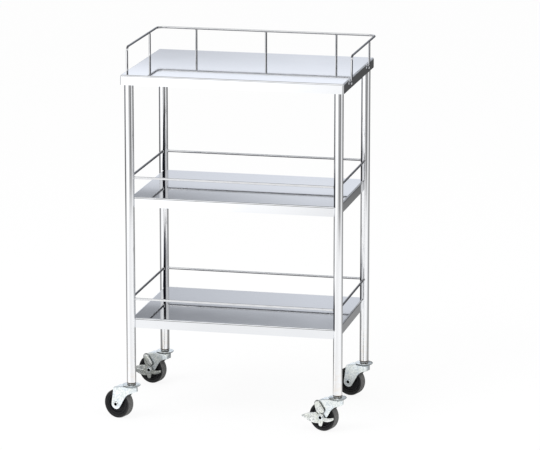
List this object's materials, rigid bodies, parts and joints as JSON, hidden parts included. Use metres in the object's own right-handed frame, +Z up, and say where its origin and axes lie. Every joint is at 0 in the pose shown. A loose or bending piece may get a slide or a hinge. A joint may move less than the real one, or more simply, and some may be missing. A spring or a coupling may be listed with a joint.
{
  "type": "instrument cart",
  "caption": "Instrument cart with flat polished steel shelves on tube legs, rod guards round each shelf and swivel casters with foot brakes, for carrying clinic tools.",
  "frame": {"origin": "centre of the bounding box on the floor, the casters at rest", "axes": "+X to the cart's right as seen from its open front, +Y towards the back guard, +Z up"},
  "size_m": [0.664, 0.4038, 0.9734],
  "materials": {
    "shelf_steel": "mirror polished stainless sheet",
    "leg_tube_steel": "mirror polished stainless tube",
    "rod_steel": "polished stainless rod",
    "rivet_steel": "satin stainless rivet",
    "caster_steel": "bright zinc plated pressed steel",
    "brake_steel": "bright zinc plated pressed steel",
    "bearing_steel": "ground bearing steel",
    "insert_plastic": "moulded plastic",
    "core_plastic": "moulded plastic",
    "tyre_rubber": "dark grey rubber"
  },
  "bodies": {
    "cart_frame": {"bottom_rail_back": "rod_steel", "bottom_rail_front": "rod_steel", "bottom_rail_left": "rod_steel", "bottom_rail_right": "rod_steel", "bottom_shelf": "shelf_steel", "caster_stem_back_left": "caster_steel", "caster_stem_back_right": "caster_steel", "caster_stem_front_left": "caster_steel", "caster_stem_front_right": "caster_steel", "foot_insert_back_left": "insert_plastic", "foot_insert_back_right": "insert_plastic", "foot_insert_front_left": "insert_plastic", "foot_insert_front_right": "insert_plastic", "guard_post_back_left": "rod_steel", "guard_post_back_middle": "rod_steel", "guard_post_back_right": "rod_steel", "guard_post_left": "rod_steel", "guard_post_right": "rod_steel", "guard_rivet_back_left": "rivet_steel", "guard_rivet_back_middle": "rivet_steel", "guard_rivet_back_right": "rivet_steel", "guard_rivet_front_left": "rivet_steel", "guard_rivet_front_right": "rivet_steel", "guard_rivet_left": "rivet_steel", "guard_rivet_right": "rivet_steel", "leg_back_left": "leg_tube_steel", "leg_back_right": "leg_tube_steel", "leg_front_left": "leg_tube_steel", "leg_front_right": "leg_tube_steel", "middle_rail_back": "rod_steel", "middle_rail_front": "rod_steel", "middle_rail_left": "rod_steel", "middle_rail_right": "rod_steel", "middle_shelf": "shelf_steel", "top_guard_rod": "rod_steel", "top_panel": "shelf_steel"},
    "fork_front_left": {"ball_race_front_left": "bearing_steel", "caster_fork_front_left": "caster_steel", "axle_front_left": "caster_steel"},
    "wheel_front_left": {"wheel_core_front_left": "core_plastic", "tyre_front_left": "tyre_rubber"},
    "fork_front_right": {"ball_race_front_right": "bearing_steel", "caster_fork_front_right": "caster_steel", "axle_front_right": "caster_steel", "brake_plate_front_right": "brake_steel"},
    "wheel_front_right": {"wheel_core_front_right": "core_plastic", "tyre_front_right": "tyre_rubber"},
    "brake_front_right": {"brake_lever_front_right": "brake_steel"},
    "fork_back_left": {"ball_race_back_left": "bearing_steel", "caster_fork_back_left": "caster_steel", "axle_back_left": "caster_steel", "brake_plate_back_left": "brake_steel"},
    "wheel_back_left": {"wheel_core_back_left": "core_plastic", "tyre_back_left": "tyre_rubber"},
    "brake_back_left": {"brake_lever_back_left": "brake_steel"},
    "fork_back_right": {"ball_race_back_right": "bearing_steel", "caster_fork_back_right": "caster_steel", "axle_back_right": "caster_steel"},
    "wheel_back_right": {"wheel_core_back_right": "core_plastic", "tyre_back_right": "tyre_rubber"}
  },
  "joints": [
    {"name": "swivel_front_left", "type": "hinge", "parent": "cart_frame", "child": "fork_front_left", "pos_m": [-0.23746, -0.17677, 0.0919], "axis": [0, 0, 1], "continuous": true},
    {"name": "roll_front_left", "type": "hinge", "parent": "fork_front_left", "child": "wheel_front_left", "pos_m": [-0.27503, -0.16456, 0.0381], "axis": [0.309, 0.9511, 0], "continuous": true},
    {"name": "swivel_front_right", "type": "hinge", "parent": "cart_frame", "child": "fork_front_right", "pos_m": [0.30854, -0.17677, 0.0919], "axis": [0, 0, 1], "continuous": true},
    {"name": "roll_front_right", "type": "hinge", "parent": "fork_front_right", "child": "wheel_front_right", "pos_m": [0.27097, -0.16456, 0.0381], "axis": [0.309, 0.9511, 0], "continuous": true},
    {"name": "brake_front_right", "type": "hinge", "parent": "fork_front_right", "child": "brake_front_right", "pos_m": [0.27097, -0.16456, 0.0381], "axis": [-0.309, -0.9511, 0], "range_deg": [0, 22]},
    {"name": "swivel_back_left", "type": "hinge", "parent": "cart_frame", "child": "fork_back_left", "pos_m": [-0.23746, 0.16723, 0.0919], "axis": [0, 0, 1], "continuous": true},
    {"name": "roll_back_left", "type": "hinge", "parent": "fork_back_left", "child": "wheel_back_left", "pos_m": [-0.27503, 0.17944, 0.0381], "axis": [0.309, 0.9511, 0], "continuous": true},
    {"name": "brake_back_left", "type": "hinge", "parent": "fork_back_left", "child": "brake_back_left", "pos_m": [-0.27503, 0.17944, 0.0381], "axis": [-0.309, -0.9511, 0], "range_deg": [0, 22]},
    {"name": "swivel_back_right", "type": "hinge", "parent": "cart_frame", "child": "fork_back_right", "pos_m": [0.30854, 0.16723, 0.0919], "axis": [0, 0, 1], "continuous": true},
    {"name": "roll_back_right", "type": "hinge", "parent": "fork_back_right", "child": "wheel_back_right", "pos_m": [0.27097, 0.17944, 0.0381], "axis": [0.309, 0.9511, 0], "continuous": true}
  ]
}
